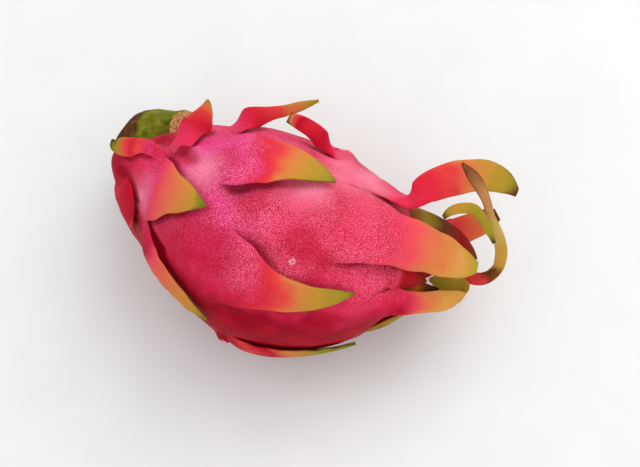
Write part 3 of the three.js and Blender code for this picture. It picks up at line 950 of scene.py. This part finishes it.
# Colourings along a scale, from its root to its tip, of the outer and the inner face. Up to its first
# position, if that is past SKIN_ROOT, the outer face has the fruit's own skin.
SKIN_ROOT = 0.1
SKIN_BLEND = 0.18  # the share of its length over which that skin gives way to the scale's own colours
STREAKS = 16  # the lengthwise streaks' noise, and how it is stretched along and across the scale
STREAK_STRETCH = (1, 2.4, 1)
COLOURINGS = {
    "short": (
        [(0.24, PINK), (0.42, SALMON), (0.7, PEACH), (0.88, YELLOW_OLIVE), (1.0, GREEN)],
        [(0.2, CRIMSON), (0.55, CRIMSON), (0.8, CORAL), (1.0, YELLOW_OLIVE)],
    ),
    "rose": (
        [(0.2, PINK), (0.45, RED), (0.66, CORAL), (0.78, PEACH), (0.9, YELLOW_OLIVE), (1.0, OLIVE)],
        [(0.2, CRIMSON), (0.6, CRIMSON), (0.85, CORAL), (1.0, OLIVE)],
    ),
    "erect": (
        [(0.24, PINK), (0.5, ROSE), (0.68, RED), (0.84, CORAL), (0.94, PEACH), (1.0, OLIVE)],
        [(0.2, CRIMSON), (0.55, CRIMSON), (0.8, CORAL), (1.0, YELLOW_OLIVE)],
    ),
    "flush": (
        [(0.25, PINK), (0.5, CRIMSON), (0.9, CRIMSON), (1.0, CORAL)],
        [(0.2, DEEP_RED), (0.6, DEEP_RED), (1.0, CRIMSON)],
    ),
    "low": (
        [(0.2, CRIMSON), (0.3, CORAL), (0.5, CRIMSON), (0.62, PEACH), (0.75, OLIVE), (1.0, GREEN)],
        [(0.2, DEEP_RED), (0.6, DEEP_RED), (0.8, BROWN), (1.0, OLIVE)],
    ),
    "belly": (
        [
            (0.34, PINK), (0.46, RED), (0.56, CORAL), (0.66, PEACH),
            (0.78, YELLOW_OLIVE), (0.94, OLIVE), (1.0, DARK_OLIVE),
        ],
        [(0.2, DEEP_RED), (0.55, CRIMSON), (0.8, PEACH), (1.0, OLIVE)],
    ),
    "lobe": (
        [(0.3, ROSE), (0.5, CORAL), (0.62, RED), (0.72, CORAL), (0.9, OLIVE), (1.0, DARK_BROWN)],
        [(0.3, PINK), (0.7, PALE_PINK), (0.9, CORAL), (1.0, OLIVE)],
    ),
    "broken": (
        [
            (0.16, PINK), (0.4, CRIMSON), (0.7, RED), (0.86, CRIMSON),
            (0.94, CORAL), (0.98, TAN), (1.0, BROWN),
        ],
        [(0.2, CRIMSON), (0.9, CRIMSON), (1.0, CREAM)],
    ),
    "crown": (
        [(0.42, PINK), (0.6, SALMON), (0.76, PEACH), (0.9, APRICOT), (1.0, LIME)],
        [(0.3, DEEP_RED), (0.62, CRIMSON), (0.78, CORAL), (0.9, PEACH), (1.0, OLIVE)],
    ),
    "arch": (
        [
            (0.25, PINK), (0.48, RED), (0.6, CORAL), (0.7, PEACH),
            (0.8, YELLOW_OLIVE), (0.93, OLIVE), (1.0, BROWN),
        ],
        [(0.3, CRIMSON), (0.55, CORAL), (0.8, YELLOW_OLIVE), (1.0, OLIVE)],
    ),
    # partly painted shade: besides their own olive and brown, these shaded scales are painted deep red
    # and dark
    "dark_painted_shade": (
        [(0.1, DEEP_RED), (0.4, OLIVE), (0.55, BROWN), (0.8, DEEP_RED), (1.0, BROWN)],
        [(0.1, DEEP_RED), (0.5, CORAL), (0.8, PEACH), (1.0, BROWN)],
    ),
    "orange": (
        [(0.1, CRIMSON), (0.45, CRIMSON), (0.65, CORAL), (0.9, PEACH), (1.0, BROWN)],
        [(0.1, CRIMSON), (0.6, CORAL), (0.9, PEACH), (1.0, BROWN)],
    ),
    "ribbon": (
        [
            (0.1, CORAL), (0.42, CORAL), (0.47, BROWN), (0.53, YELLOW_OLIVE),
            (0.7, STRAW), (0.82, TAN), (1.0, BROWN),
        ],
        [(0.1, CORAL), (0.35, PEACH), (0.5, STRAW), (0.8, STRAW), (0.92, OLIVE), (1.0, DARK_BROWN)],
    ),
    "straw": (
        [
            (0.0, DARK_BROWN), (0.12, OLIVE), (0.5, OLIVE),
            (0.8, YELLOW_OLIVE), (0.93, OLIVE), (1.0, DARK_BROWN),
        ],
        [(0.0, DARK_BROWN), (0.12, OLIVE), (0.5, BROWN), (0.88, OLIVE), (1.0, DARK_BROWN)],
    ),
    "folded": (
        [
            (0.34, PINK), (0.44, SALMON), (0.53, PEACH),
            (0.62, APRICOT), (0.9, YELLOW_OLIVE), (1.0, OLIVE),
        ],
        [(0.1, CRIMSON), (0.4, PEACH), (0.6, YELLOW_OLIVE), (1.0, OLIVE)],
    ),
    "blood": (
        [(0.3, CRIMSON), (0.5, SCARLET), (0.8, SCARLET), (1.0, BROWN)],
        [(0.1, DEEP_RED), (0.8, DEEP_RED), (1.0, BROWN)],
    ),
    "dry": (
        [(0.1, SCARLET), (0.4, BROWN), (0.6, ORANGE), (0.78, BROWN), (1.0, DARK_BROWN)],
        [(0.1, BROWN), (0.6, BROWN), (1.0, DARK_BROWN)],
    ),
}


def scale_material(kind):
    """A fleshy scale: skin at its root, then its own colours to a green tip, with a thin dry edge."""
    outer_stops, inner_stops = COLOURINGS[kind]
    graph = Graph("scale_" + kind)
    along = graph.attribute("along")
    across = graph.math("ABSOLUTE", graph.attribute("across"))
    inner = graph.attribute("inner")
    edge = graph.step(across, 0.55, 1.0, 0.0, 0.04)
    reach = graph.math("ADD", graph.math("ADD", along, graph.sway(SCALE_CLOUDS, 0.16)), edge)
    skin_pink, speckle = skin_colour(graph)
    own = graph.ramp(reach, outer_stops)
    start = outer_stops[0][0]
    outer = own
    if start > SKIN_ROOT:
        outer = graph.mix(graph.step(reach, start, start + SKIN_BLEND), skin_pink, own)
    colour = graph.mix(inner, outer, graph.ramp(reach, inner_stops))

    lengthwise = graph.add("CombineXYZ", {0: graph.math("MULTIPLY", along, 1.6), 1: across}).outputs[0]
    streaks = graph.noise(STREAKS, 3, 0.6, lengthwise, STREAK_STRETCH)
    colour = graph.mix(graph.step(streaks, 0.45, 0.75, 0.0, 0.3), colour, CREAM, "SOFT_LIGHT")
    colour = graph.mix(graph.step(streaks, 0.5, 0.28, 0.0, 0.25), colour, CRIMSON, "MULTIPLY")
    dry = graph.math("MULTIPLY", graph.step(across, 0.93, 1.0), graph.step(reach, 0.55, 0.9))
    colour = graph.mix(graph.math("MULTIPLY", dry, 0.6), colour, BROWN)

    normal = skin_relief(graph, speckle)
    normal = graph.bump(streaks, STREAK_RELIEF, graph.step(reach, start, 0.7, 0.0, 0.6), normal)
    roughness = graph.step(reach, start, 0.8, SKIN_ROUGHNESS, TIP_ROUGHNESS)
    return graph.finish(colour, roughness, normal, SKIN_FLESH)


def stub_material():
    """Cut cactus stem: green skin, brown cork towards one end, and a tan cut face at the other."""
    graph = Graph("stem_green")
    end = graph.attribute("along")
    cloud = graph.noise(STEM_CLOUDS, 4, 0.6)
    green = graph.ramp(cloud, STEM_GREENS)
    cork = graph.ramp(graph.noise(CORK_CLOUDS, 4, 0.65), STEM_CORKS)
    share = graph.step(graph.math("ADD", end, graph.math("MULTIPLY", cloud, 0.5)), 0.62, 0.42)
    colour = graph.mix(share, green, cork)
    tan = graph.ramp(graph.noise(TAN_CLOUDS, 3, 0.7), STEM_TANS)
    colour = graph.mix(graph.step(end, 0.955, 0.965), colour, tan)
    normal = graph.bump(graph.noise(STEM_HUMPS, 4, 0.6), STEM_RELIEF, 0.5)
    return graph.finish(colour, STUB_ROUGHNESS, normal, STUB_FLESH)


# ---- the stem stub -----------------------------------------------------------------------------------
STUB_MIDDLE = np.array([-62.5, 25.7, 30])
STUB_ALONG = unit(np.array([0.93, 0.36, 0.04]))
STUB_AWAY = np.array([-0.72, 0.63, -0.3])  # away from the fruit
STUB_LENGTH = 25.5
STUB_RADIUS = 8.6
STUB_RIBS = 3
STUB_RIB_DEPTH = 0.07
STUB_AROUND = 64
STUB_SAMPLES = 110
# Each end leans in on the side that faces this way, by a slant in mm along the piece for each mm across
# it. The slant comes in between two shares of the length.
STUB_FACE = unit(np.array([0, -0.34, 0.93]))
STUB_FACE_SLANT = 0.55
STUB_FACE_SHARES = (0.1, 0.47)
STUB_BACK = unit(np.array([-0.3, 0.84, 0.4]))
STUB_BACK_SLANT = 0.7
STUB_BACK_SHARES = (-0.1, -0.5)
STUB_WAVES = [(0.45, 9, 5), (0.2, 3.5, 6)]  # the height and length in mm, and the seed
STUB_SINK = 0.5  # how deep the stub may go into the fruit
# [share of the length, swell of the radius, how far the side against the fruit is drawn out towards it]
STUB_STATIONS = [
    [-0.5, 0.3, 0],
    [-0.495, 0.62, 0],
    [-0.46, 0.8, 0],
    [-0.3, 0.97, 3],
    [-0.12, 1, 8],
    [0.1, 1, 9],
    [0.28, 1.02, 4],
    [0.43, 1.04, 0],
    [0.46, 1.02, 0],
    [0.468, 0.95, 0],
    [0.47, 0.3, 0],
]


def lean(share, shares, slant, across):
    """How far one end's slant moves points that are this far across the stub along it."""
    start, end = shares
    return slant * np.clip((share - start) / (end - start), 0, 1) * across


def stub_rings():
    """The rings of the cut piece of cactus stem, with its along attribute."""
    flat = unit(np.cross(STUB_AWAY, STUB_ALONG))
    out = np.cross(STUB_ALONG, flat)
    stations = spline(np.array(STUB_STATIONS, float), STUB_SAMPLES)
    share, swell, neck = stations.T[:, :, None]
    angle = 2 * math.pi * (np.arange(STUB_AROUND) + 0.5) / STUB_AROUND
    inner = np.maximum(-np.cos(angle), 0)
    ribs = 1 + STUB_RIB_DEPTH * np.cos(STUB_RIBS * angle)
    radius = STUB_RADIUS * swell * ribs + neck * inner**2
    offset = out * (radius * np.cos(angle))[..., None] + flat * (radius * np.sin(angle))[..., None]
    cut = lean(share, STUB_FACE_SHARES, STUB_FACE_SLANT, offset @ STUB_FACE)
    end = lean(share, STUB_BACK_SHARES, STUB_BACK_SLANT, offset @ STUB_BACK)
    points = STUB_MIDDLE + offset + STUB_ALONG * (share * STUB_LENGTH - cut + end)[..., None]
    middle = STUB_MIDDLE + STUB_ALONG * (share * STUB_LENGTH)[..., None]
    points = points + unit(points - middle) * unevenness(points, STUB_WAVES)[..., None]
    height, normal = above_skin(points)
    points = points + normal * (np.maximum(height, -STUB_SINK) - height)[..., None]
    return points, {"along": np.broadcast_to(share + 0.5, points.shape[:2])}


# ---- the object --------------------------------------------------------------------------------------
def build_fruit():
    """Makes every piece."""
    materials = {kind: scale_material(kind) for kind in COLOURINGS}
    scales = []
    for index, (node, thick, wrap, kind, stops) in enumerate(SCALES):
        rings, attributes = scale_rings(index, thick, wrap, stops)
        scales.append((rings, attributes))
        make_piece("look_" + node, rings, attributes, materials[kind], node)
    rings, attributes = body_rings(scales)
    make_piece("look_fruit_body", rings, attributes, body_material(), "fruit_body")
    rings, attributes = stub_rings()
    make_piece("look_stem_stub", rings, attributes, stub_material(), "stem_stub")


# ---- the scene ---------------------------------------------------------------------------------------
# Angles are in degrees, lengths in metres and the lens in mm.
AZIMUTH = 25
ELEVATION = 68
DISTANCE = 0.62
LENS = 91.8
AIM = Vector((0.01625, 0.0101, 0.0389))
FLOOR_HALF = 3.0
FLOOR_ROUGHNESS = 0.8
SKY = (0.96, 0.97, 1.0, 1)
SKY_STRENGTH = 1.06
WARM_WHITE = (1.0, 0.985, 0.96)
WARMER_WHITE = (1.0, 0.97, 0.95)


def view_axes():
    """The camera's right, up and backward directions."""
    azimuth, elevation = math.radians(AZIMUTH), math.radians(ELEVATION)
    right = Vector((math.cos(azimuth), math.sin(azimuth), 0))
    back = Vector(
        (
            math.sin(azimuth) * math.cos(elevation),
            -math.cos(azimuth) * math.cos(elevation),
            math.sin(elevation),
        )
    )
    return right, back.cross(right), back


def add_camera():
    """The camera, at the angle that the fruit is seen from."""
    right, up, back = view_axes()
    data = bpy.data.cameras.new("camera")
    data.lens = LENS
    camera = bpy.data.objects.new("camera", data)
    turn = Matrix((right, up, back)).transposed().to_4x4()
    camera.matrix_world = Matrix.Translation(AIM + back * DISTANCE) @ turn
    bpy.context.scene.collection.objects.link(camera)
    bpy.context.scene.camera = camera


def add_light(name, direction, distance, size, power, colour):
    """A soft square lamp that shines on the fruit from this direction."""
    data = bpy.data.lights.new(name, "AREA")
    data.size = size
    data.energy = power
    data.color = colour
    lamp = bpy.data.objects.new(name, data)
    towards = Vector(direction).normalized()
    lamp.location = AIM + towards * distance
    lamp.rotation_euler = towards.to_track_quat("Z", "Y").to_euler()
    bpy.context.scene.collection.objects.link(lamp)


def add_floor():
    """A plain pale floor."""
    graph = Graph("floor_white")
    colour = graph.ramp(graph.noise(FLOOR_CLOUDS, 3), FLOOR_WHITES)
    shader = graph.add("BsdfPrincipled", {"Base Color": colour, "Roughness": FLOOR_ROUGHNESS})
    output = graph.add("OutputMaterial", {})
    graph.tree.links.new(shader.outputs[0], output.inputs[0])
    mesh = bpy.data.meshes.new("floor")
    signs = [(-1, -1), (1, -1), (1, 1), (-1, 1)]
    corners = [(x * FLOOR_HALF, y * FLOOR_HALF, 0) for x, y in signs]
    mesh.from_pydata(corners, [], [(0, 1, 2, 3)])
    mesh.materials.append(graph.material)
    floor = bpy.data.objects.new("floor", mesh)
    bpy.context.scene.collection.objects.link(floor)


def add_world():
    """An even white sky."""
    world = bpy.data.worlds.new("soft_white")
    world.use_nodes = True
    background = world.node_tree.nodes["Background"]
    background.inputs["Color"].default_value = SKY
    background.inputs["Strength"].default_value = SKY_STRENGTH
    bpy.context.scene.world = world


add_camera()
add_world()
add_light("key", (0.15, 0.75, 1.0), distance=1.3, size=1.0, power=6.0, colour=WARM_WHITE)
add_light("fill", (1.0, -0.3, 0.6), distance=1.0, size=0.8, power=0.9, colour=WARMER_WHITE)
add_floor()
build_fruit()
bpy.context.scene.view_settings.view_transform = "Standard"
